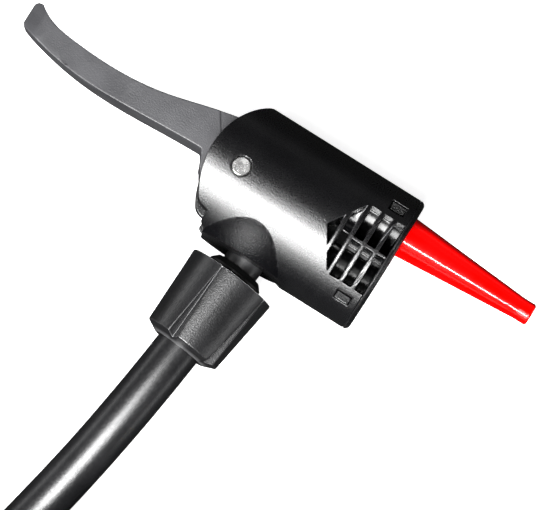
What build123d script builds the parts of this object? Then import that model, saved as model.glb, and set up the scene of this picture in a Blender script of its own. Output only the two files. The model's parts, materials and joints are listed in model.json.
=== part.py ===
from build123d import *
import math
import os

# Twin-port pump head: a barrel with a locking lever at its rear, a hose that joins it from the side
# through a swivel, and an inflation cone held in the upper port. It lies on its side.
# Millimetres. X runs along the barrel to the valve mouths, +Y away from the hose, +Z along the pivot pin.
# Everything is modelled about the centre of the pivot pin, and moved to the row's origin at the end.

# ---- Driving dimensions ----
barrel_r = 15.0            # outside radius of the barrel
shell_end = 33.9           # where the shell ends and the front cap begins
front_x = 35.1             # face of the front cap
edge_round = 1.1           # rounding of the cap's edge
rear_arc_r = 18.55         # the rear end is an arc seen along the pin
rear_arc_x, rear_arc_y = 11.3, 0.9  # centre of that arc
foot_y = -10.4             # flat under the rear of the barrel, where the lever swings past
foot_round = 3.2           # rounding of its rear corner
boss_plane_x = -1.3        # rear plane of the hose boss
boss_face_y = -14.3        # face of the hose boss
boss_r = 13.2              # radius of the boss's dome
boss_x, boss_y = 8.7, -6.0  # centre of the dome

port_y = 7.2               # the two ports lie this far above and below the barrel's axis
port_bore_r = 5.25
port_tube_r = 6.5
grommet_back = 25.0        # rear end of the rubber grommets
grommet_front = 33.0
large_stem_r = 3.85        # shank of a large (Schrader) valve, and of the cone
small_stem_r = 3.0         # small (Presta) valve

pin_r = 2.0
slot_half = 6.6            # half width of the lever's slot
cam_pocket_r = 8.8
slot_roof = 9.7            # top of the slot above the pin
cam_r = 6.9                # the cam is a disc set off from the pin
cam_throw = 1.22           # by this much
cam_angle = 20.0           # in this direction with the lever closed, in degrees from +X
heel_r = 8.0               # rounded heel of the lever behind the pin
heel_end_x = -3.4          # it ends here, so that it clears the yoke when the lever is open
lever_tip_x = -52.8
lever_half = 6.3           # half width of the lever at its root
tip_half = 3.9             # and near its tip

push_half_y = 5.2          # push block of the yoke
push_half_z = 5.3
push_face_x = 8.45
bar_back_x, bar_front_x = 16.2, 18.6
bar_half_y = 9.0
bar_half_z = 4.6
travel = 1.4               # how far the lever pushes the yoke and pistons
slip = 0.3                 # gap between pieces that pass each other
piston_r = 5.18
piston_front = 24.1
washer_front = 24.95

stem_x = 10.4              # where the swivel's axis meets the boss's face
stem_tilt = 5.5            # lean of that axis, in degrees
stem_r = 3.0
stem_groove_r = 2.05       # floor of the grooves for the two O-rings
stem_wire = 0.48           # half thickness of the O-rings
stem_seal_places = (4.6, 1.9)  # along the swivel's axis, from the boss's face
clip_groove_r = 2.3
clip_at = 6.3
neck_r = 4.05
collar_r = 6.9
nut_top, nut_bottom = -4.1, -21.9
nut_top_r, nut_bottom_r = 9.55, 8.5
nut_chamfer = 1.2          # length of the bevel at the nut's lower end
nut_bevel = 2.6            # and its width
flutes = 5
flute_depth = 1.5

cone_root_r, cone_tip_r = 4.35, 2.35
cone_tip_x = 64.8
tip_land = 2.8             # straight part at the tip

hose_r = 4.8
coil_r = 52.0              # radius of the coil's centreline
coil_x, coil_y = 43.5, -127.4
coil_start = 167.3         # where the hose joins the coil, in degrees
coil_lift = 0.6            # thickness of the tie's strap, which runs under the coil
top_turn = (-30.0, 200.0)  # the third turn's arc, from coil_start, in degrees
tie_at = 60.0              # the tie's place, from coil_start, in degrees
tie_span = 10.0

# Route of the hose from the nut to the coil, about the pivot pin.
hose_route = [
    (9.67, -21.9, 0.0),
    (8.25, -36.6, 0.0),
    (6.40, -51.0, -1.6),
    (3.95, -66.0, -5.4),
    (0.55, -82.0, -9.3),
    (-3.30, -99.5, -10.2),
]

stem_lean = math.radians(stem_tilt)

# The row's origin: centre of the bottom of the box round the head, lever, cone and nut.
nut_reach = boss_face_y + nut_bottom * math.cos(stem_lean) - (nut_bottom_r - nut_bevel) * math.sin(stem_lean)
origin = Vector((lever_tip_x + cone_tip_x) / 2, (barrel_r + nut_reach) / 2, -barrel_r)

stem_plane = Plane(
    origin=(stem_x, boss_face_y, 0),
    x_dir=(0, 0, 1),
    z_dir=(math.sin(stem_lean), math.cos(stem_lean), 0),
)
coil_centre = Vector(coil_x, coil_y, 0)
coil_bottom = coil_lift + hose_r - barrel_r  # height of the lowest turn's centreline


# ---- Helpers ----
def block(x, y, z):
    """A box between two corners, given as three pairs."""
    size = (x[1] - x[0], y[1] - y[0], z[1] - z[0])
    middle = (sum(x) / 2, sum(y) / 2, sum(z) / 2)
    return Pos(*middle) * Box(*size)


def rod_x(r, start, end, y=0.0, z=0.0):
    """A cylinder along X."""
    return Pos((start + end) / 2, y, z) * Rot(0, 90, 0) * Cylinder(r, end - start)


def rod_z(r, start, end, x=0.0, y=0.0):
    """A cylinder along Z."""
    return Pos(x, y, (start + end) / 2) * Cylinder(r, end - start)


def turned(outline, axis=Axis.Z):
    """A solid of revolution from a list of (radius, height) points."""
    corners = [(r, 0, h) for r, h in outline]
    return revolve(make_face(Polyline(*corners, close=True)), axis)


def turned_x(outline, y=0.0):
    """A solid of revolution about a line along X from (x, radius) points."""
    solid = turned([(r, x) for x, r in outline])
    return Pos(0, y, 0) * Rot(0, 90, 0) * solid


def on_stem(shape):
    """From the swivel's own frame, Z into the head, to the barrel's."""
    return stem_plane.location * shape


def ring_seal(x, y, r_mid, r_wire):
    """An O-ring round a line along X."""
    return Pos(x, y, 0) * Rot(0, 90, 0) * Torus(r_mid, r_wire)


# ---- Head: shell, cap, pin, grommets ----
window = [(34.2, -8.7), (34.2, 7.3), (25.5, 7.3), (20.4, -0.5), (25.5, -8.7)]
window_floor = 3.0
rib_places = [23.0, 25.7, 28.7, 31.5]
rib_thick = 0.8
latches = [  # y range, height of the leg's underside and top, height of the nub
    ((8.9, 10.8), (6.8, 9.2), 9.9),
    ((-11.6, -10.1), (6.0, 7.8), 8.7),
]
latch_x = (29.2, 32.3)
latch_gap = 0.2


def barrel_body():
    """The barrel with its arched rear end, its foot, and the domed boss for the hose."""
    rear = Pos(rear_arc_x, rear_arc_y) * Circle(rear_arc_r)
    rear -= Pos(boss_plane_x - 10, foot_y - 10) * Rectangle(20, 20)
    foot_corner = rear.vertices().group_by(Axis.X)[0]
    rear = fillet(foot_corner, foot_round)
    side_view = rear + Pos(rear_arc_x + 20, 0) * Rectangle(40, 40)
    barrel = rod_x(barrel_r, -12, shell_end) & extrude(side_view, 20, both=True)
    dome = Pos(boss_x, boss_y, 0) * Sphere(boss_r)
    dome &= block((boss_plane_x, 40), (boss_face_y, 0), (-20, 20))
    rim_r = math.sqrt(boss_r**2 - (boss_face_y - boss_y) ** 2)
    flat = Pos(boss_x, boss_face_y - 1, 0) * Rot(90, 0, 0) * Cylinder(rim_r, 2)
    return barrel + dome - flat


def window_cut(side):
    """The open pocket on one side, less its ribs and the tubes of the two ports."""
    pocket = extrude(make_face(Polyline(*window, close=True)), 20)
    pocket = Pos(0, 0, window_floor) * pocket
    for x in rib_places:
        pocket -= block((x - rib_thick / 2, x + rib_thick / 2), (-20, 20), (0, 30))
    pocket -= block((25.7, shell_end), (-0.55, 0.05), (0, 30))
    for y in (-port_y, port_y):
        pocket -= rod_x(port_tube_r, 15, 40, y)
    return pocket if side > 0 else mirror(pocket, Plane.XY)


def latch_cuts():
    cuts = []
    for side in (-1, 1):
        for (y0, y1), (z0, z1), nub in latches:
            y = (y0 - latch_gap, y1 + latch_gap)
            leg = sorted((side * (z0 - latch_gap), side * (z1 + latch_gap)))
            hole = sorted((side * z0, side * 20))
            cuts.append(block((latch_x[0] - 0.8, shell_end + 1), y, leg))
            cuts.append(block((latch_x[0] - latch_gap, latch_x[1] + latch_gap), y, hole))
    return cuts


def make_head_shell():
    shell = barrel_body()
    slot = rod_z(cam_pocket_r, -slot_half, slot_half)
    slot += block((-20, 0), (-20, slot_roof), (-slot_half, slot_half))
    channel = (-push_half_y - slip, push_half_y + slip), (-push_half_z - slip, push_half_z + slip)
    slot += block((0, bar_back_x), *channel)
    bar_y, bar_z = bar_half_y + slip, bar_half_z + slip
    slot += block((bar_back_x - travel - slip / 2, bar_front_x + slip), (-bar_y, bar_y), (-bar_z, bar_z))
    for y in (-port_y, port_y):
        slot += rod_x(port_bore_r, bar_front_x - travel - slip, 40, y)
    shell -= slot
    shell -= rod_z(pin_r + 0.12, -20, 20)
    shell -= on_stem(rod_z(stem_r + 0.05, -5, 12))
    shell -= on_stem(rod_z(neck_r + slip, -5, 1.2))
    shell -= on_stem(rod_z(clip_r + slip, 5.3, 9.5))
    shell -= rod_x(0.7, stem_x + 1, 21.5, -11.2)
    shell -= Pos(20.8, 0, 0) * Rot(90, 0, 0) * Cylinder(0.8, 6)
    for side in (-1, 1):
        shell -= window_cut(side)
    for cut in latch_cuts():
        shell -= cut
    return shell


def make_front_cap():
    cap = rod_x(barrel_r, shell_end + 0.05, front_x)
    cap = fillet(cap.edges().sort_by(Axis.X)[-1], edge_round)
    for y, r in ((port_y, cone_root_r + slip), (-port_y, small_stem_r + 0.4)):
        cap += rod_x(port_bore_r - 0.1, grommet_front, shell_end + 0.1, y)
        cap -= rod_x(r, 30, 40, y)
    for side in (-1, 1):
        for (y0, y1), (z0, z1), nub in latches:
            cap += block((latch_x[0] - 0.5, shell_end + 0.2), (y0, y1), sorted((side * z0, side * z1)))
            cap += block(latch_x, (y0, y1), sorted((side * z0, side * nub)))
    return cap


def make_pivot_pin():
    pin = rod_z(pin_r, -14.8, 14.8)
    return chamfer(pin.edges(), 0.25)


def make_grommet(y, stem_radius):
    sleeve = turned_x(
        [
            (grommet_back, stem_radius + 0.1),
            (grommet_back, port_bore_r - 0.1),
            (grommet_front, port_bore_r - 0.1),
            (grommet_front, stem_radius + 0.5),
            (grommet_front - 0.7, stem_radius + 0.1),
        ],
        y,
    )
    return sleeve


# ---- Lever ----
hub_step = 0.3             # the hub's sides stand this far back from the handle's


def lever_side():
    """Outline of the lever seen along the pin: handle, and the step down to the heel."""
    ridge = [(-5.2, 9.3), (-14.0, 7.2), (-22.1, 5.2), (-34.1, 4.3), (-42.1, 4.85), (-48.2, 6.1), (-51.2, 7.9)]
    top = Spline(*ridge)
    tip = Polyline((-51.2, 7.9), (-52.2, 7.8), (lever_tip_x, 7.1), (lever_tip_x, 2.7), (-51.9, 2.0))
    under = Spline((-51.9, 2.0), (-44.2, 0.05), (-36.1, -0.95), (-29.5, -1.05), (-22.0, -0.75), (-9.0, -0.15))
    root = Polyline((-9.0, -0.15), (-8.2, -1.5), (-7.4, -3.5), (0, -3.5), (0, 8.0), (-5.2, 9.3))
    return make_face([top, tip, under, root])


def lever_plan():
    """Outline of the lever seen from above: it narrows to the tip, and the tip's sides are bevelled."""
    edge = [(5, lever_half), (-26, lever_half), (-34, 5.4), (-41, 4.5), (-47, 4.0), (-49.8, tip_half)]
    curve = Spline(*[(x, half) for x, half in edge[1:]])
    corners = [(-49.8, tip_half), (lever_tip_x - 0.1, 2.6), (lever_tip_x - 0.1, 0), (5, 0), (5, lever_half)]
    half = make_face([curve, Polyline(*corners), Line((5, lever_half), (-26, lever_half))])
    return half + mirror(half, Plane.XZ)


def make_lever():
    handle = extrude(lever_side(), 20, both=True)
    plan = Rot(90, 0, 0) * lever_plan()
    handle &= extrude(plan, 30, both=True)
    heel = rod_z(heel_r, -lever_half, lever_half) & block((-12, heel_end_x), (-20, 20), (-20, 20))
    lean = math.radians(cam_angle)
    cam = rod_z(cam_r, -lever_half, lever_half, cam_throw * math.cos(lean), cam_throw * math.sin(lean))
    lever = handle + heel + cam
    hub_face = Pos(-7.9, 5.5, 0) * Rot(0, 0, 33.5)
    for z in (lever_half - hub_step, -lever_half - 0.1):
        lever -= hub_face * block((0, 30), (-20, 30), (z, z + hub_step + 0.1))
    return lever - rod_z(pin_r + 0.06, -20, 20)


# ---- Yoke, pistons and what they carry ----
seal_places = (19.9, 23.0)
seal_wire = 0.6
groove_r = 4.0


def make_yoke():
    yoke = block((push_face_x, bar_back_x), (-push_half_y, push_half_y), (-push_half_z, push_half_z))
    yoke = chamfer(yoke.edges().group_by(Axis.X)[0], 0.5)
    bar = block((bar_back_x, bar_front_x), (-bar_half_y, bar_half_y), (-bar_half_z, bar_half_z))
    for z in (-2.6, 2.6):
        yoke -= block((10.2, 15.0), (-3.6, 3.6), (z - 1.6, z + 1.6))
    return yoke + bar


def make_piston(y):
    piston = rod_x(piston_r, bar_front_x, piston_front, y)
    for x in seal_places:
        piston -= rod_x(6, x - 0.7, x + 0.7, y) - rod_x(groove_r, x - 0.7, x + 0.7, y)
    piston -= rod_x(6, 21.0, 21.9, y) - rod_x(4.4, 21.0, 21.9, y)
    piston -= rod_x(1.5, 21.0, 25, y)
    piston -= rod_z(0.6, -6, 6, 21.45, y)
    if y > 0:
        piston -= rod_x(0.9, 19.6, 21.1, y)
    return piston


def make_piston_seals():
    return [ring_seal(x, y, groove_r + seal_wire, seal_wire) for y in (-port_y, port_y) for x in seal_places]


def make_thrust_washers():
    return [
        rod_x(port_bore_r - 0.1, piston_front + 0.02, washer_front, y) - rod_x(2.6, 20, 30, y)
        for y in (-port_y, port_y)
    ]


def make_depressor_pin():
    return rod_x(0.9, 19.6, 26.6, port_y) + Pos(26.6, port_y, 0) * Sphere(0.9)


# ---- Inflation cone ----
def make_inflation_cone():
    cone_back, bore_r = 25.6, 1.4
    return turned_x(
        [
            (cone_back, bore_r),
            (cone_back, large_stem_r - 0.4),
            (cone_back + 0.4, large_stem_r),
            (grommet_front + 0.6, large_stem_r),
            (grommet_front + 0.95, cone_root_r),
            (front_x, cone_root_r),
            (cone_tip_x - tip_land, cone_tip_r),
            (cone_tip_x - 0.3, cone_tip_r),
            (cone_tip_x, cone_tip_r - 0.3),
            (cone_tip_x, 1.0),
            (cone_tip_x - 8, bore_r),
        ],
        port_y,
    )


# ---- Swivel stem, nut and hose ----
barb_tip = -17.2
collar_top, collar_bottom = -4.5, -7.5
clip_r = 3.7
clip_thick = 0.7


def make_swivel_stem():
    outline = [
        (0, 7.0),
        (stem_r, 7.0),
        (stem_r, 0.9),
        (neck_r, 0.9),
        (neck_r, collar_top),
        (collar_r, collar_top),
        (collar_r, collar_bottom),
        (3.0, collar_bottom),
    ]
    step = (collar_bottom - barb_tip) / 4
    for k in range(4):
        top = collar_bottom - step * k
        outline += [(3.3, top - 0.6), (2.8, top - step + 0.1)]
    outline += [(2.8, barb_tip), (0, barb_tip)]
    stem = turned(outline)
    grooves = [(clip_at, clip_thick + 0.1, clip_groove_r)]
    grooves += [(height, 1.3, stem_groove_r) for height in stem_seal_places]
    for height, width, floor_r in grooves:
        span = (height - width / 2, height + width / 2)
        stem -= rod_z(5, *span) - rod_z(floor_r, *span)
    stem -= rod_z(1.2, barb_tip - 1, 3.6)
    stem -= Pos(0, 0, 3.25) * Rot(90, 0, 0) * Cylinder(0.7, 8)
    return on_stem(stem)


def make_stem_seals():
    middle_r = stem_groove_r + stem_wire
    return [on_stem(Pos(0, 0, height) * Torus(middle_r, stem_wire)) for height in stem_seal_places]


def make_stem_clip():
    clip = rod_z(clip_r, clip_at - clip_thick / 2, clip_at + clip_thick / 2)
    clip -= rod_z(clip_groove_r + 0.02, 5, 8)
    clip -= block((0, 5), (-1.0, 1.0), (5, 8))
    return on_stem(clip)


def make_flange_washer():
    low, high = -3.95, -2.0
    outline = [(neck_r + 0.05, low), (6.1, low), (6.1, low + 0.8), (5.0, high), (neck_r + 0.05, high)]
    return on_stem(turned(outline))


def flute_cutter():
    side = 8.0
    lean = math.atan2(nut_top_r - nut_bottom_r + flute_depth, nut_top - nut_bottom)
    bar = Rot(0, 0, 45) * Box(side, side, 60)
    bar = Pos(side / math.sqrt(2), 0, 0) * bar
    return Pos(nut_top_r, 0, nut_top) * Rot(0, math.degrees(lean), 0) * bar


def make_hose_nut():
    nut = turned(
        [
            (collar_r + 0.06, nut_top),
            (nut_top_r - 0.15, nut_top),
            (nut_top_r, nut_top - 0.15),
            (nut_bottom_r, nut_bottom + nut_chamfer),
            (nut_bottom_r - nut_bevel, nut_bottom),
            (hose_r + 0.15, nut_bottom),
            (hose_r + 0.15, -17.6),
            (collar_r + 0.06, -10.6),
        ]
    )
    cutter = flute_cutter()
    first = -17.0
    for k in range(flutes):
        nut -= Rot(0, 0, first + 360 / flutes * k) * cutter
    return on_stem(nut)


def make_hose_collet():
    inner_r, tip = hose_r + 0.05, -16.9
    collet = turned([(inner_r, -9.6), (6.3, -9.6), (6.3, -11.2), (inner_r + 0.2, tip), (inner_r, tip)])
    for k in range(4):
        collet -= Rot(0, 0, 90 * k) * block((3, 9), (-0.4, 0.4), (-18, -10.8))
    return on_stem(collet)


def hose_radii(points):
    """The radius at each corner: 0.45 of the shorter run over the tangent of half the turn."""
    radii = []
    for a, b, c in zip(points, points[1:], points[2:]):
        before, after = Vector(b) - Vector(a), Vector(c) - Vector(b)
        turn = math.radians(before.get_angle(after))
        radii.append(0.45 * min(before.length, after.length) / math.tan(turn / 2))
    return radii


def make_hose():
    radii = hose_radii(hose_route)
    path = FilletPolyline(*hose_route, radius=radii)
    start = Plane(origin=path @ 0, z_dir=path % 0)
    hose = sweep(start * Circle(hose_r), path=path)
    print("hose radii:", [round(r, 1) for r in radii], "route length:", round(path.length, 1))
    print("hose volume / (section x length):", round(hose.volume / (math.pi * hose_r**2 * path.length), 4))
    hose -= on_stem(rod_z(3.35, barb_tip - 0.2, 0))
    coil_room = Pos(coil_x, coil_y, 0) * Cylinder(coil_r + hose_r, 80)
    return hose - coil_room


def coil_section(turns, grow=0.0):
    """A stack of turns in outline: a slot standing on end, at the coil's radius."""
    height = 2 * hose_r * turns
    middle = coil_bottom - hose_r + height / 2
    slot = SlotOverall(height + 2 * grow, 2 * (hose_r + grow), rotation=90)
    return Plane.XZ * Pos(coil_r, middle) * slot


def round_the_coil(section, start, sweep_angle):
    """Sweeps a section about the coil's centre, from an angle past coil_start."""
    solid = revolve(section, Axis.Z, revolution_arc=sweep_angle)
    return Pos(coil_x, coil_y, 0) * Rot(0, 0, coil_start + start) * solid


def make_hose_coil():
    coil = round_the_coil(coil_section(2), 0, 360)
    third = round_the_coil(coil_section(3), top_turn[0], top_turn[1] - top_turn[0])
    return coil + third


def make_hose_tie():
    strap = coil_section(3, coil_lift) - coil_section(3)
    return round_the_coil(strap, tie_at, tie_span)


# ---- Fittings on the pump end of the hose ----
sleeve_r = 5.6
tail_lift = 0.85           # the sleeve is thicker than the hose, and lies on the second turn


def on_tail(shape):
    """From the tail's own frame, Z along the fitting, to where the hose leaves the third turn."""
    angle = math.radians(coil_start + top_turn[1])
    out = Vector(math.cos(angle), math.sin(angle), 0)
    height = coil_bottom + 4 * hose_r + tail_lift
    foot = coil_centre + out * coil_r + Vector(0, 0, height)
    tail = Plane(origin=foot, x_dir=out, z_dir=(-out.Y, out.X, 0))
    return tail.location * shape


sleeve_long = 16.0
tail_thread_r = 4.86


def make_end_sleeve():
    sleeve = turned([(3.3, 0), (sleeve_r, 0), (sleeve_r, sleeve_long), (3.3, sleeve_long)])
    for k in range(3):
        height = 3.5 + 4.5 * k
        groove = Pos(0, 0, height) * (Cylinder(8, 1.2) - Cylinder(sleeve_r - 0.3, 1.2))
        sleeve -= groove
    return on_tail(sleeve)


def make_end_fitting():
    hexagon = Pos(0, 0, sleeve_long) * extrude(RegularPolygon(6.1, 6, rotation=30), 6)
    barb = rod_z(3.2, 1.0, sleeve_long)
    neck = [(0, 22), (3.9, 22), (3.9, 23.9)]
    thread = turned(neck + [(tail_thread_r, 24.4), (tail_thread_r, 32.4), (4.3, 33), (0, 33)])
    fitting = barb + hexagon + thread
    return on_tail(fitting - rod_z(1.6, 0, 40))


def make_end_seal():
    return on_tail(Pos(0, 0, 22.95) * Torus(4.85, 0.9))


parts = {
    "head_shell": make_head_shell(),
    "front_cap": make_front_cap(),
    "pivot_pin": make_pivot_pin(),
    "large_valve_grommet": make_grommet(port_y, large_stem_r),
    "small_valve_grommet": make_grommet(-port_y, small_stem_r),
    "lever": make_lever(),
    "yoke": make_yoke(),
    "large_valve_piston": make_piston(port_y),
    "small_valve_piston": make_piston(-port_y),
    "piston_seals": make_piston_seals(),
    "thrust_washers": make_thrust_washers(),
    "depressor_pin": make_depressor_pin(),
    "inflation_cone": make_inflation_cone(),
    "swivel_stem": make_swivel_stem(),
    "stem_seals": make_stem_seals(),
    "stem_clip": make_stem_clip(),
    "flange_washer": make_flange_washer(),
    "hose_nut": make_hose_nut(),
    "hose_collet": make_hose_collet(),
    "hose": make_hose(),
    "hose_coil": make_hose_coil(),
    "hose_tie": make_hose_tie(),
    "end_sleeve": make_end_sleeve(),
    "end_fitting": make_end_fitting(),
    "end_seal": make_end_seal(),
}

os.makedirs("parts", exist_ok=True)
for name, made in parts.items():
    pieces = made if isinstance(made, list) else list(made.solids())
    solids = [solid for piece in pieces for solid in piece.solids()]
    group = Compound(children=solids) if len(solids) > 1 else solids[0]
    export_step(Pos(-origin.X, -origin.Y, -origin.Z) * group, f"parts/{name}.step")
print("origin about the pivot pin:", tuple(round(v, 3) for v in (origin.X, origin.Y, origin.Z)))
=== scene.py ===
# %% [markdown]
# # A twin-port pump head on its hose
# This is the working end of a floor pump: a moulded barrel with two valve ports, a locking lever
# at the rear, a red inflation cone in the upper port, and a rubber hose held by a fluted nut.
# The CAD frame already fixes every size and every moving part. This script gives it its looks.
# Lengths are in millimetres in the values below, and turned to metres where a mesh is made.

# %% Load the frame
import json
import math

import bmesh
import bpy
from mathutils import Matrix, Vector


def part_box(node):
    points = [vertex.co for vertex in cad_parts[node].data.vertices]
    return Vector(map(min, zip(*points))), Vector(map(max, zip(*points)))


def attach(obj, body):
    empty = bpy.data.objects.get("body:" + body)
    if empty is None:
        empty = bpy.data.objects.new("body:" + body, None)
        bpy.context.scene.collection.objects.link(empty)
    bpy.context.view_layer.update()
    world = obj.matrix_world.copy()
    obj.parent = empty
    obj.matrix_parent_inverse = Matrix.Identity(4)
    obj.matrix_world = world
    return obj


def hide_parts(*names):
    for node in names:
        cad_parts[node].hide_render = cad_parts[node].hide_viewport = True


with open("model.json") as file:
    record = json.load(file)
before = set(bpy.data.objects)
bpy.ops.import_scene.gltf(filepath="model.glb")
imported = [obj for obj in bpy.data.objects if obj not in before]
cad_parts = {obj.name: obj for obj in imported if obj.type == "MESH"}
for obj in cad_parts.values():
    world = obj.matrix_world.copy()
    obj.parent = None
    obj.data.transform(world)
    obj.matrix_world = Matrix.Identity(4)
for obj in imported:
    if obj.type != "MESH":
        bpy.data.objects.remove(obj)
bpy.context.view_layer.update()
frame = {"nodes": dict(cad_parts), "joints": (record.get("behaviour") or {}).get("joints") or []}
scene = bpy.context.scene
MM = 0.001

# %% [markdown]
# ## Where things are
# The lever's hinge is the centre of the pivot pin, so it makes a good local origin: the barrel runs
# along +X from it, the hose leaves towards -Y, and the pin itself lies along Z. Reading the point
# from the frame keeps every piece in step with the CAD model.

# %% The pivot, and points about it
joint_at = {joint["name"]: joint for joint in frame["joints"]}
pivot = Vector(joint_at["lever_swing"]["pos_m"])


def about_pin(x, y, z=0.0):
    """A point in metres in the row's frame, from millimetres about the pivot pin's centre."""
    return pivot + Vector((x, y, z)) * MM


print("pivot pin at", [round(value, 4) for value in pivot])

# %% [markdown]
# ## The camera
# A long lens far away flattens the view, as in a catalogue picture. The head lies on its side and
# is seen along its pivot pin, a few degrees from the hose side and from the front, and turned so
# that the barrel runs down to the right.

# %% Camera
lean_to_hose = math.radians(6.0)
lean_to_front = math.radians(0.8)
roll = math.radians(32.2)
lens_mm = 300.0
sensor_mm = 36.0
picture_width = 108.4  # how much of the scene the picture spans
aim = about_pin(13.92, -10.40)

back = Vector((math.sin(lean_to_front), -math.sin(lean_to_hose), 1)).normalized()
right = Vector((math.cos(roll), math.sin(roll), 0))
right = (right - back * right.dot(back)).normalized()
up = back.cross(right)
distance = picture_width * MM * lens_mm / sensor_mm

camera_data = bpy.data.cameras.new("camera")
camera_data.lens = lens_mm
camera_data.sensor_width = sensor_mm
camera_data.clip_end = 10
camera = bpy.data.objects.new("camera", camera_data)
scene.collection.objects.link(camera)
turn = Matrix((right, up, back)).transposed().to_4x4()
camera.matrix_world = Matrix.Translation(aim + back * distance) @ turn
scene.camera = camera
print("camera", round(distance, 3), "m away")

# %% [markdown]
# ## The hose
# A rubber hose is one smooth line of fixed length. It leaves the nut, sinks to the table under its
# own weight, and the rest is wound into three turns held by a strap. A NURBS curve of order three
# with listed control points bends like rubber, and the turns are worked out by a loop.

# %% Hose route
hose_r = 4.8
coil_r = 52.0
coil_centre = (43.5, -127.4)
coil_start = 167.3
coil_sweep = 920.0
strap_thick = 0.6
table = -15.0  # the table top, as seen from the pivot pin
tail_lift = 0.85  # the crimped sleeve is wider than the hose, so the end is held up a little
climb = (270.0, 330.0)  # where each turn steps up onto the next, in degrees past coil_start

hose_route = [
    (9.67, -21.9, 0.0),
    (8.25, -36.6, 0.0),
    (6.40, -51.0, -1.6),
    (3.95, -66.0, -5.4),
    (0.55, -82.0, -9.3),
    (-3.30, -99.5, -10.2),
]


def coil_height(angle):
    """Height of the hose's centre after an angle round the coil: level, but for one climb a turn."""
    turns, rest = divmod(angle, 360.0)
    share = min(max((rest - climb[0]) / (climb[1] - climb[0]), 0.0), 1.0)
    share = share * share * (3 - 2 * share)
    return table + strap_thick + hose_r + 2 * hose_r * (turns + share)


def coil_point(angle, radius, height):
    """A point after an angle round the coil, in millimetres about the pivot pin."""
    around = math.radians(coil_start + angle)
    x = coil_centre[0] + radius * math.cos(around)
    y = coil_centre[1] + radius * math.sin(around)
    return (x, y, height)


coil_steps = 41
step = coil_sweep / coil_steps
control_r = coil_r / math.cos(math.radians(step / 2))
turn_angles = [step * (k + 0.5) for k in range(coil_steps)]
turns = [coil_point(angle, control_r, coil_height(angle)) for angle in turn_angles]
turns[-1] = turns[-1][:2] + (turns[-1][2] + tail_lift,)
end_height = coil_height(coil_sweep) + tail_lift
hose_points = hose_route + turns + [coil_point(coil_sweep, coil_r, end_height)]

hose_curve = bpy.data.curves.new("rubber_hose", "CURVE")
hose_curve.dimensions = "3D"
hose_curve.bevel_depth = hose_r * MM
hose_curve.bevel_resolution = 10
hose_curve.resolution_u = 10
hose_curve.use_fill_caps = True
spline = hose_curve.splines.new("NURBS")
spline.points.add(len(hose_points) - 1)
for point, place in zip(spline.points, hose_points):
    point.co = (*about_pin(*place), 1)
spline.order_u = 3
spline.use_endpoint_u = True
hose = bpy.data.objects.new("rubber_hose", hose_curve)
scene.collection.objects.link(hose)
print("hose has", len(hose_points), "control points, length", round(spline.calc_length(), 4), "m")

# %% [markdown]
# ## Helpers for materials
# Every finish here is built from shader nodes, so one helper adds a node, sets it and links it.
# Patterns are laid out in millimetres of the real object: Object coordinates are metres, and a scale
# of a thousand turns them into millimetres.

# %% Material helpers


def add_node(tree, kind, links=None, **settings):
    """Adds a node, sets its properties, sets or links its sockets, and returns it."""
    node = tree.nodes.new(kind)
    for name, value in settings.items():
        setattr(node, name, value)
    for name, value in (links or {}).items():
        socket = node.inputs[name]
        if isinstance(value, bpy.types.NodeSocket):
            tree.links.new(value, socket)
        else:
            socket.default_value = value
    return node


def paint(code):
    """An sRGB hex colour as the linear numbers that a shader takes."""
    parts = [int(code[k : k + 2], 16) / 255 for k in (1, 3, 5)]
    linear = [c / 12.92 if c <= 0.04045 else ((c + 0.055) / 1.055) ** 2.4 for c in parts]
    return (*linear, 1.0)


def new_material(name):
    """An empty node material: the material and its node tree."""
    made = bpy.data.materials.new(name)
    made.use_nodes = True
    made.node_tree.nodes.clear()
    return made, made.node_tree


def finish_with(tree, shader):
    """Sends a shader to the surface of its material."""
    output = add_node(tree, "ShaderNodeOutputMaterial")
    tree.links.new(shader.outputs[0], output.inputs["Surface"])


def place_in_mm(tree, centre=(0, 0, 0)):
    """Where a point of the surface is, in millimetres from a centre given in metres."""
    where = add_node(tree, "ShaderNodeTexCoord")
    at = where.outputs["Object"]
    moved = add_node(tree, "ShaderNodeVectorMath", {0: at, 1: centre}, operation="SUBTRACT")
    in_mm = {0: moved.outputs[0], "Scale": 1000.0}
    return add_node(tree, "ShaderNodeVectorMath", in_mm, operation="SCALE").outputs[0]


def speckle(tree, where, size_mm, detail=2.0):
    """Smooth noise whose lumps are about size_mm across."""
    sockets = {"Vector": where, "Scale": 1 / size_mm, "Detail": detail}
    return add_node(tree, "ShaderNodeTexNoise", sockets).outputs["Fac"]


def spread(tree, value, low, high, bottom=0.0, top=1.0):
    """Maps a value between two limits to a new range, and holds it there outside them."""
    sockets = {"Value": value, "From Min": low, "From Max": high, "To Min": bottom, "To Max": top}
    return add_node(tree, "ShaderNodeMapRange", sockets).outputs["Result"]


def blend_paint(tree, share, first, second):
    """A mix of two sRGB colours."""
    sockets = {0: share, 6: paint(first), 7: paint(second)}
    return add_node(tree, "ShaderNodeMix", sockets, data_type="RGBA").outputs[2]


def rounded_edges_and_highlight_mask(tree, width_mm):
    """A normal rounded at the edges, and a mask: one on sharp edges and nought on open faces. The
    moulded finishes use the mask to place a painted edge highlight.
    """
    rounded = add_node(tree, "ShaderNodeBevel", {"Radius": width_mm * MM}, samples=6)
    true = add_node(tree, "ShaderNodeNewGeometry")
    dot = add_node(
        tree,
        "ShaderNodeVectorMath",
        {0: rounded.outputs["Normal"], 1: true.outputs["True Normal"]},
        operation="DOT_PRODUCT",
    )
    return rounded.outputs["Normal"], spread(tree, dot.outputs["Value"], 0.98, 0.8)


print("material helpers ready")
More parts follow.
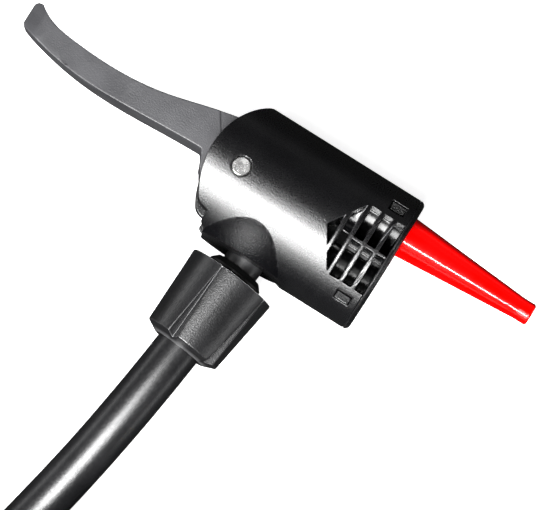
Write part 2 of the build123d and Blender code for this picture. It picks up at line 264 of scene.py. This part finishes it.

# %% [markdown]
# ## Moulded and extruded finishes
# Nylon, polythene and rubber all leave a steel mould or die with its skin on them: fine spark-eroded
# grain and faint cloudiness where the plastic flowed. Their sharp edges get a painted highlight, a
# lighter colour.
# One recipe makes them all, and each material below gives it that material's own numbers. Real
# spark-eroded grain is roughly 0.05 mm wide, too fine to show in the render, so it is drawn five or
# more times coarser.


# %% The moulded recipe
cloud_mm = 7.0


def moulded(
    name,
    colour,
    cloudy,
    rough,
    grain_mm,
    grain_deep_mm,
    gloss=0.5,
    edge_mm=0.25,
    edge_highlight="#3a3a3c",
    highlight_share=0.5,
):
    """A moulded skin: cloudy colour, grain in the gloss and the relief, and a painted highlight along
    the edges.
    """
    made, tree = new_material(name)
    where = place_in_mm(tree)
    cloud = speckle(tree, where, cloud_mm, 3.0)
    grain = speckle(tree, where, grain_mm)
    rounded, edge = rounded_edges_and_highlight_mask(tree, edge_mm)
    ground = blend_paint(tree, spread(tree, cloud, 0.35, 0.65), colour, cloudy)
    # Sharp edges take the lighter edge colour: a painted highlight along the edges.
    edge_lit = add_node(
        tree,
        "ShaderNodeMix",
        {0: spread(tree, edge, 0, 1, 0, highlight_share), 6: ground, 7: paint(edge_highlight)},
        data_type="RGBA",
    )
    gloss_spread = spread(tree, grain, 0.3, 0.7, rough * 0.85, rough * 1.15)
    bump = add_node(
        tree,
        "ShaderNodeBump",
        {"Height": grain, "Distance": grain_deep_mm * MM, "Normal": rounded},
    )
    shader = add_node(
        tree,
        "ShaderNodeBsdfPrincipled",
        {
            "Base Color": edge_lit.outputs[2],
            "Roughness": gloss_spread,
            "Specular IOR Level": gloss,
            "Normal": bump.outputs[0],
        },
    )
    finish_with(tree, shader)
    return made


# In each finish below, the last colour is painted along sharp edges as a highlight, and a last number,
# where given, sets how strongly.
# Black nylon 6, injection moulded against a fine spark-eroded steel: satin, with a sparkling grain.
shell_nylon = moulded(
    "black_moulded_nylon", "#040405", "#080809",
    rough=0.29, grain_mm=0.26, grain_deep_mm=0.05, gloss=0.6, edge_mm=0.22, edge_highlight="#5c5c5e", highlight_share=0.35,
)
# The boss was sparked more deeply, for grip: dull between its coarse, sparkling grains.
dome_nylon = moulded(
    "deep_textured_nylon", "#030304", "#060607",
    rough=0.3, grain_mm=0.3, grain_deep_mm=0.12, gloss=0.09, edge_mm=0.22, edge_highlight="#4a4a4c", highlight_share=0.25,
)
# The pocket's walls and floor are hard to reach with a spark tool, so the mould's polish shows there.
# Its rib edges take a near-white painted highlight.
pocket_nylon = moulded(
    "smooth_moulded_nylon", "#040405", "#070708",
    rough=0.2, grain_mm=0.6, grain_deep_mm=0.008, gloss=0.6, edge_mm=0.2, edge_highlight="#a8a8aa", highlight_share=0.8,
)
# The same nylon filled with glass fibre for stiffness: greyer, and rougher where the fibres surface.
lever_nylon = moulded(
    "glass_filled_nylon", "#2c2c2e", "#363638",
    rough=0.40, grain_mm=0.3, grain_deep_mm=0.05, gloss=0.4, edge_mm=0.25, edge_highlight="#6a6a6c",
)
# Acetal copolymer, dyed black, from a plain polished mould: the hose nut is a little greyer than nylon.
# Its flute edges take a light grey painted highlight.
nut_acetal = moulded(
    "black_acetal", "#0a0a0b", "#121213",
    rough=0.33, grain_mm=0.3, grain_deep_mm=0.045, gloss=0.55, edge_mm=0.2, edge_highlight="#9a9a9c", highlight_share=0.8,
)
# The swivel's neck is a turned bar of dark grey acetal.
stem_acetal = moulded(
    "grey_acetal", "#171718", "#202021",
    rough=0.4, grain_mm=0.4, grain_deep_mm=0.01, gloss=0.5, edge_mm=0.15, edge_highlight="#6a6a6c",
)
# Black polypropylene washer, matt from its mould.
washer_plastic = moulded(
    "black_polypropylene", "#050505", "#080808",
    rough=0.5, grain_mm=0.3, grain_deep_mm=0.01, gloss=0.4, edge_mm=0.12, edge_highlight="#1c1c1c",
)
# Low-density polythene, dyed right through: waxy, glossy, and a single clean red.
cone_polythene = moulded(
    "red_polythene", "#fe0100", "#f40202",
    rough=0.14, grain_mm=1.6, grain_deep_mm=0.004, gloss=0.34, edge_mm=0.3, edge_highlight="#ff2a20",
)
# Natural acetal, the usual material of a sliding piston.
piston_acetal = moulded(
    "natural_acetal", "#e6e3da", "#efece4",
    rough=0.3, grain_mm=0.6, grain_deep_mm=0.006, gloss=0.5, edge_mm=0.2, edge_highlight="#f6f3ea",
)
# Nitrile rubber seals, moulded matt.
seal_rubber = moulded(
    "nitrile_rubber", "#0d0d0d", "#131313",
    rough=0.55, grain_mm=0.25, grain_deep_mm=0.012, gloss=0.4, edge_mm=0.1, edge_highlight="#242424",
)
# Synthetic rubber hose, extruded: smooth along its length, satin from handling.
hose_rubber = moulded(
    "extruded_hose_rubber", "#0b0b0c", "#121213",
    rough=0.34, grain_mm=0.5, grain_deep_mm=0.02, gloss=0.42, edge_mm=0.3, edge_highlight="#202021",
)
# A stretchy silicone strap, matt and a little dusty.
strap_rubber = moulded(
    "silicone_strap", "#1d1d1e", "#262627",
    rough=0.6, grain_mm=0.5, grain_deep_mm=0.02, gloss=0.4, edge_mm=0.3, edge_highlight="#343435",
)
print("moulded finishes:", [m.name for m in bpy.data.materials])

# %% [markdown]
# ## Metals
# The pivot pin and the fittings are cut on a lathe, which leaves fine rings round their axis. The
# rings are a sine wave of the distance from that axis. A fine cut leaves them about 0.05 mm apart,
# and they are drawn at 0.12 mm: still too fine to see singly, but they stretch the reflections. Each
# metal keeps its own colour, with clouds of tarnish.


# %% The turned metal recipe
tarnish_mm = 1.6
turned_edge_mm = 0.15


def turned_metal(name, colour, tarnish, rough, axis_at, ring_mm=0.12, ring_deep_mm=0.002):
    """A metal turned about a vertical axis through axis_at: fine rings and clouds of tarnish."""
    made, tree = new_material(name)
    where = place_in_mm(tree, axis_at)
    flat = add_node(tree, "ShaderNodeVectorMath", {0: where, 1: (1, 1, 0)}, operation="MULTIPLY")
    far = add_node(tree, "ShaderNodeVectorMath", {0: flat.outputs[0]}, operation="LENGTH")
    turns = add_node(
        tree,
        "ShaderNodeMath",
        {0: far.outputs["Value"], 1: 2 * math.pi / ring_mm},
        operation="MULTIPLY",
    )
    ring = add_node(tree, "ShaderNodeMath", {0: turns.outputs[0]}, operation="SINE")
    cloud = speckle(tree, where, tarnish_mm, 4.0)
    rounded, _ = rounded_edges_and_highlight_mask(tree, turned_edge_mm)
    bump = add_node(
        tree,
        "ShaderNodeBump",
        {"Height": ring.outputs[0], "Distance": ring_deep_mm * MM, "Strength": 0.4, "Normal": rounded},
    )
    shader = add_node(
        tree,
        "ShaderNodeBsdfPrincipled",
        {
            "Base Color": blend_paint(tree, spread(tree, cloud, 0.45, 0.75), colour, tarnish),
            "Metallic": 1.0,
            "Roughness": spread(tree, cloud, 0.3, 0.7, rough * 0.8, rough * 1.4),
            "Normal": bump.outputs[0],
        },
    )
    finish_with(tree, shader)
    return made


pin_steel = turned_metal("polished_steel", "#f4f4f3", "#cfcfcd", 0.22, pivot)
brass = turned_metal("turned_brass", "#d9b368", "#b58c45", 0.25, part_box("end_fitting")[0])
nickel = turned_metal("nickel_plate", "#cdcbc4", "#a9a69d", 0.3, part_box("end_sleeve")[0])
spring_steel = turned_metal("spring_steel", "#8d8d90", "#6c6c6e", 0.4, pivot)
print("metals:", pin_steel.name, brass.name, nickel.name, spring_steel.name)

# %% [markdown]
# ## Which piece is made of what
# Each CAD node keeps its shape and takes the material of its real counterpart.

# %% Give every node its material
materials = {
    "head_shell": shell_nylon,
    "front_cap": shell_nylon,
    "pivot_pin": pin_steel,
    "large_valve_grommet": seal_rubber,
    "small_valve_grommet": seal_rubber,
    "lever": lever_nylon,
    "yoke": piston_acetal,
    "large_valve_piston": piston_acetal,
    "small_valve_piston": piston_acetal,
    "piston_seals": seal_rubber,
    "thrust_washers": brass,
    "depressor_pin": brass,
    "inflation_cone": cone_polythene,
    "swivel_stem": stem_acetal,
    "stem_seals": seal_rubber,
    "stem_clip": spring_steel,
    "flange_washer": washer_plastic,
    "hose_nut": nut_acetal,
    "hose_collet": piston_acetal,
    "hose": hose_rubber,
    "hose_coil": hose_rubber,
    "hose_tie": strap_rubber,
    "end_sleeve": nickel,
    "end_fitting": brass,
    "end_seal": seal_rubber,
}
for name, node in frame["nodes"].items():
    node.data.materials.clear()
    node.data.materials.append(materials[name])
hose.data.materials.append(hose_rubber)
print(len(materials), "nodes have their materials")

# %% [markdown]
# ## Rounded edges
# A mould never leaves a knife edge: each corner of a nylon part has a tiny radius, and that radius is
# what draws a thin bright line round a black part. The CAD solids are sharp there, so a copy of the
# shell, the front cap, the lever and the hose nut has its loose triangles merged, its flats joined, and
# its sharp edges bevelled.


# %% Which edges are rounded
barrel_r = 15.0
port_y = 7.2
port_clear_r = 5.6
channel_start = 2.5
channel_half_y = 12.0
channel_half_z = 2.8
sharp_deg = 38.0
same_point = 0.002  # corners closer than this are one
shortest_edge = 0.004
flat_deg = 0.4
skin_flat_deg = 1.9
skin_depth = 0.1  # how far below the barrel's radius its outer skin is still taken to reach


def inside_head(spot):
    """True at the port bores and the yoke's channel, which are reamed: their edges stay as they are."""
    near_port = min(math.hypot(spot.y - side * port_y, spot.z) for side in (-1, 1))
    in_channel = abs(spot.z) < channel_half_z and abs(spot.y) < channel_half_y
    return spot.x > channel_start and (near_port < port_clear_r or in_channel)


def baked_mesh(thing):
    """A thing's mesh with its modifiers applied."""
    return bpy.data.meshes.new_from_object(thing.evaluated_get(bpy.context.evaluated_depsgraph_get()))


def join_flats(shape, angle, verts):
    """Joins faces that meet at less than an angle in degrees, among some of a mesh's vertices."""
    chosen = set(verts)
    edges = [edge for edge in shape.edges if edge.verts[0] in chosen and edge.verts[1] in chosen]
    limit = math.radians(angle)
    bmesh.ops.dissolve_limit(shape, angle_limit=limit, verts=list(verts), edges=edges, delimit=set())


def merged_copy(node, piece_name, stays_sharp):
    """A CAD node's mesh with its triangles merged, its flats joined and its sharp edges marked."""
    mesh = node.data.copy()
    mesh.name = piece_name
    mesh.materials.clear()
    shape = bmesh.new()
    shape.from_mesh(mesh)
    bmesh.ops.remove_doubles(shape, verts=shape.verts, dist=same_point * MM)
    bmesh.ops.dissolve_degenerate(shape, edges=shape.edges, dist=shortest_edge * MM)
    join_flats(shape, flat_deg, shape.verts)
    # Slivers along the barrel are narrower than the mould radius, so the outer skin is joined further.
    skin_r = (barrel_r - skin_depth) * MM
    skin = [vert for vert in shape.verts if (vert.co - pivot).yz.length > skin_r]
    join_flats(shape, skin_flat_deg, skin)
    mark = shape.edges.layers.float.new("bevel_weight_edge")
    for edge in shape.edges:
        middle = ((edge.verts[0].co + edge.verts[1].co) / 2 - pivot) / MM
        is_sharp = edge.is_manifold and edge.calc_face_angle() > math.radians(sharp_deg)
        edge[mark] = float(is_sharp and not (stays_sharp and stays_sharp(middle)))
    for face in shape.faces:
        face.smooth = True
    shape.to_mesh(mesh)
    shape.free()
    return mesh


print("edges sharper than", sharp_deg, "degrees are rounded")


# %% Round the moulded pieces
def soften(node_name, body, edge_mm, finishes, stays_sharp=None):
    """A rounded copy of a CAD node, which takes its place; finishes are (material, test) pairs."""
    piece_name = "moulded_" + node_name
    merged = merged_copy(frame["nodes"][node_name], piece_name, stays_sharp)
    piece = bpy.data.objects.new(piece_name, merged)
    scene.collection.objects.link(piece)
    rounding = piece.modifiers.new("mould_radius", "BEVEL")
    rounding.width = edge_mm * MM
    rounding.segments = 2
    rounding.limit_method = "WEIGHT"
    rounding.use_clamp_overlap = False
    rounding.miter_outer = "MITER_ARC"
    weighing = piece.modifiers.new("flats_rule_the_shading", "WEIGHTED_NORMAL")
    weighing.mode = "FACE_AREA"
    weighing.weight = 50
    rounded = baked_mesh(piece)
    piece.modifiers.clear()
    piece.data = rounded
    rounded.name = piece_name
    for finish, _ in finishes:
        rounded.materials.append(finish)
    for face in rounded.polygons:
        spot = (face.center - pivot) / MM
        for index, (_, test) in enumerate(finishes):
            if test is None or test(spot):
                face.material_index = index
    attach(piece, body)
    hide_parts(node_name)
    print(piece_name, "has", len(rounded.polygons), "faces")
    return piece


boss_centre = Vector((8.7, -6.0, 0))
boss_r = 13.2
boss_face_y = -14.2
boss_root_y = -0.5
dome_slack = 0.2  # how far a facet's middle may be off the true sphere
just_outside = 0.02
pocket_edge = 0.3  # the pocket's finish stops this far below the barrel's skin
pocket_x = (20.0, 34.5)
pocket_y = (-8.9, 7.5)
pocket_floor = 2.8


def on_dome(spot):
    """True on the boss's dome, where it stands out of the barrel."""
    off_dome = abs((spot - boss_centre).length - boss_r)
    outside = boss_face_y < spot.y < boss_root_y and spot.yz.length > barrel_r + just_outside
    return off_dome < dome_slack and outside


def in_pocket(spot):
    """True on the walls, ribs and floor of the two side pockets."""
    beside = pocket_x[0] < spot.x < pocket_x[1] and pocket_y[0] < spot.y < pocket_y[1]
    return beside and abs(spot.z) > pocket_floor and spot.yz.length < barrel_r - pocket_edge


shell_finishes = [(shell_nylon, None), (dome_nylon, on_dome), (pocket_nylon, in_pocket)]
soften("head_shell", "head", 0.16, shell_finishes, stays_sharp=inside_head)
for node_name, body, slot, edge_mm, finish in [
    ("front_cap", "head", "shell_nylon", 0.12, shell_nylon),
    ("lever", "lever", "lever_nylon", 0.2, lever_nylon),
    ("hose_nut", "hose_side", "nut_plastic", 0.15, nut_acetal),
]:
    soften(node_name, body, edge_mm, [(finish, None)])

# %% [markdown]
# ## Rings that repeat
# The hose's end fitting has a pipe thread, and its sleeve was crimped on in narrow bands. Both are one
# ring repeated along a line, so a small Geometry Nodes tree makes them: it sweeps a wire round a
# circle, sets a copy on each point of a line, and makes the copies real. The crests of a thread this
# fine look the same as rings. The result is baked to a plain mesh and moved to the end of the hose.

# %% The ring stack
def ring_stack(piece_name, finish, count, pitch, ring_r, wire_r, start):
    """Rings about the end fitting's axis, from start along it, as a plain mesh. Sizes are in mm."""
    tree = bpy.data.node_groups.new(piece_name + "_rings", "GeometryNodeTree")
    sizes = [("Count", "NodeSocketInt"), ("Pitch", "NodeSocketFloat")]
    sizes += [("Ring Radius", "NodeSocketFloat"), ("Wire Radius", "NodeSocketFloat")]
    for label, kind in sizes:
        tree.interface.new_socket(label, in_out="INPUT", socket_type=kind)
    tree.interface.new_socket("Rings", in_out="OUTPUT", socket_type="NodeSocketGeometry")
    given = add_node(tree, "NodeGroupInput").outputs
    round_curve = "GeometryNodeCurvePrimitiveCircle"
    circle = add_node(tree, round_curve, {"Resolution": 48, "Radius": given["Ring Radius"]})
    wire = add_node(tree, round_curve, {"Resolution": 8, "Radius": given["Wire Radius"]})
    ring = add_node(
        tree,
        "GeometryNodeCurveToMesh",
        {"Curve": circle.outputs["Curve"], "Profile Curve": wire.outputs["Curve"]},
    )
    apart = add_node(tree, "ShaderNodeCombineXYZ", {"Z": given["Pitch"]})
    line = add_node(tree, "GeometryNodeMeshLine", {"Count": given["Count"], "Offset": apart.outputs[0]})
    copies = add_node(
        tree,
        "GeometryNodeInstanceOnPoints",
        {"Points": line.outputs[0], "Instance": ring.outputs[0]},
    )
    real = add_node(tree, "GeometryNodeRealizeInstances", {0: copies.outputs[0]})
    coat = {"Geometry": real.outputs[0], "Material": finish}
    painted = add_node(tree, "GeometryNodeSetMaterial", coat)
    add_node(tree, "NodeGroupOutput", {"Rings": painted.outputs[0]})

    holder = bpy.data.objects.new(piece_name, bpy.data.meshes.new(piece_name))
    scene.collection.objects.link(holder)
    stack = holder.modifiers.new("rings", "NODES")
    stack.node_group = tree
    inputs = [item for item in tree.interface.items_tree if item.in_out == "INPUT"]
    socket_of = {item.name: item.identifier for item in inputs}
    stack[socket_of["Count"]] = count
    stack[socket_of["Pitch"]] = pitch * MM
    stack[socket_of["Ring Radius"]] = ring_r * MM
    stack[socket_of["Wire Radius"]] = wire_r * MM
    baked = baked_mesh(holder)
    holder.modifiers.clear()

    along = math.radians(coil_start + coil_sweep)
    out = Vector((math.cos(along), math.sin(along), 0))
    onward = Vector((-out.y, out.x, 0))
    foot = about_pin(*coil_point(coil_sweep, coil_r, end_height))
    to_fitting = Matrix((out, onward.cross(out), onward)).transposed().to_4x4()
    baked.transform(Matrix.Translation(foot + onward * start * MM) @ to_fitting)
    for face in baked.polygons:
        face.use_smooth = True
    holder.data = baked
    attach(holder, "hose_side")
    print(piece_name, "is", count, "rings,", len(baked.polygons), "faces")
    return holder


thread = ring_stack(
    "pipe_thread", brass, count=8, pitch=0.907, ring_r=4.72, wire_r=0.3, start=25.2,
)
crimps = ring_stack(
    "crimp_beads", nickel, count=3, pitch=4.5, ring_r=5.5, wire_r=0.32, start=5.75,
)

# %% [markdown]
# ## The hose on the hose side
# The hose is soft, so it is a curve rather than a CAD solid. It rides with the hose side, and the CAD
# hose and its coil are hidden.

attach(hose, "hose_side")
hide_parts("hose", "hose_coil")

# %% [markdown]
# ## Light and floor
# Glossy black plastic shows its shape only by what it reflects. One tall softbox over the hose side
# draws the broad highlight along the barrel, and a narrow strip beside it draws the fine line on the
# cone. Weak lamps low down on all four sides keep the far sides from going black. The table is a lit
# white sheet to the camera, and dark to reflections, as when black cards stand round a black object,
# so that its outline stays crisp.


# %% Stage
floor_size = 3.0
floor_mesh = bpy.data.meshes.new("floor")
corners = [(-1, -1), (1, -1), (1, 1), (-1, 1)]
floor_mesh.from_pydata([(x * floor_size, y * floor_size, 0) for x, y in corners], [], [(0, 1, 2, 3)])
floor = bpy.data.objects.new("floor", floor_mesh)
scene.collection.objects.link(floor)

table_paint, tree = new_material("lit_white_table")
seen = add_node(tree, "ShaderNodeLightPath")
sheet = add_node(tree, "ShaderNodeBsdfDiffuse", {"Color": paint("#c8c8c8")})
glow = add_node(tree, "ShaderNodeEmission", {"Color": paint("#ffffff"), "Strength": 0.86})
lit = add_node(tree, "ShaderNodeAddShader", {0: sheet.outputs[0], 1: glow.outputs[0]})
dark = add_node(tree, "ShaderNodeBsdfDiffuse", {"Color": paint("#1a1a1a")})
table_top = add_node(
    tree,
    "ShaderNodeMixShader",
    {0: seen.outputs["Is Camera Ray"], 1: dark.outputs[0], 2: lit.outputs[0]},
)
finish_with(tree, table_top)
floor_mesh.materials.append(table_paint)


def softbox(name, lean_y, lean_x, reach, size, power):
    """A rectangular lamp that looks at the head from a lean about it, in degrees from straight up."""
    lamp_data = bpy.data.lights.new(name, "AREA")
    lamp_data.shape = "RECTANGLE"
    lamp_data.size = size[0]
    lamp_data.size_y = size[1]
    lamp_data.energy = power
    lamp = bpy.data.objects.new(name, lamp_data)
    away = Vector((math.tan(math.radians(lean_x)), math.tan(math.radians(lean_y)), 1)).normalized()
    across = (Vector((1, 0, 0)) - away * away.x).normalized()
    frame_of_lamp = Matrix((across, away.cross(across), away)).transposed().to_4x4()
    lamp.matrix_world = Matrix.Translation(aim + away * reach) @ frame_of_lamp
    scene.collection.objects.link(lamp)
    return lamp


key = softbox("key", lean_y=-36.5, lean_x=-8, reach=0.9, size=(0.36, 0.95), power=26)
strip = softbox("strip", lean_y=-33, lean_x=-3, reach=0.9, size=(0.6, 0.06), power=20)
fill = softbox("fill", lean_y=55, lean_x=30, reach=1.2, size=(0.8, 0.8), power=0.12)
low_rim = softbox("low_rim", lean_y=-77, lean_x=0, reach=0.9, size=(0.9, 0.14), power=0.7)
far_rim = softbox("far_rim", lean_y=79, lean_x=0, reach=0.9, size=(0.9, 0.2), power=0.12)
tip_rim = softbox("tip_rim", lean_y=0, lean_x=80, reach=0.9, size=(0.2, 0.9), power=2)
end_rim = softbox("end_rim", lean_y=0, lean_x=-80, reach=0.9, size=(0.2, 0.9), power=2)
world = bpy.data.worlds.new("surround")
scene.world = world
world.use_nodes = True
world.node_tree.nodes["Background"].inputs["Color"].default_value = (1, 1, 1, 1)
world.node_tree.nodes["Background"].inputs["Strength"].default_value = 0.02
scene.view_settings.view_transform = "Standard"
print("lamps:", [lamp.name for lamp in (key, strip, fill, low_rim, far_rim, tip_rim, end_rim)])
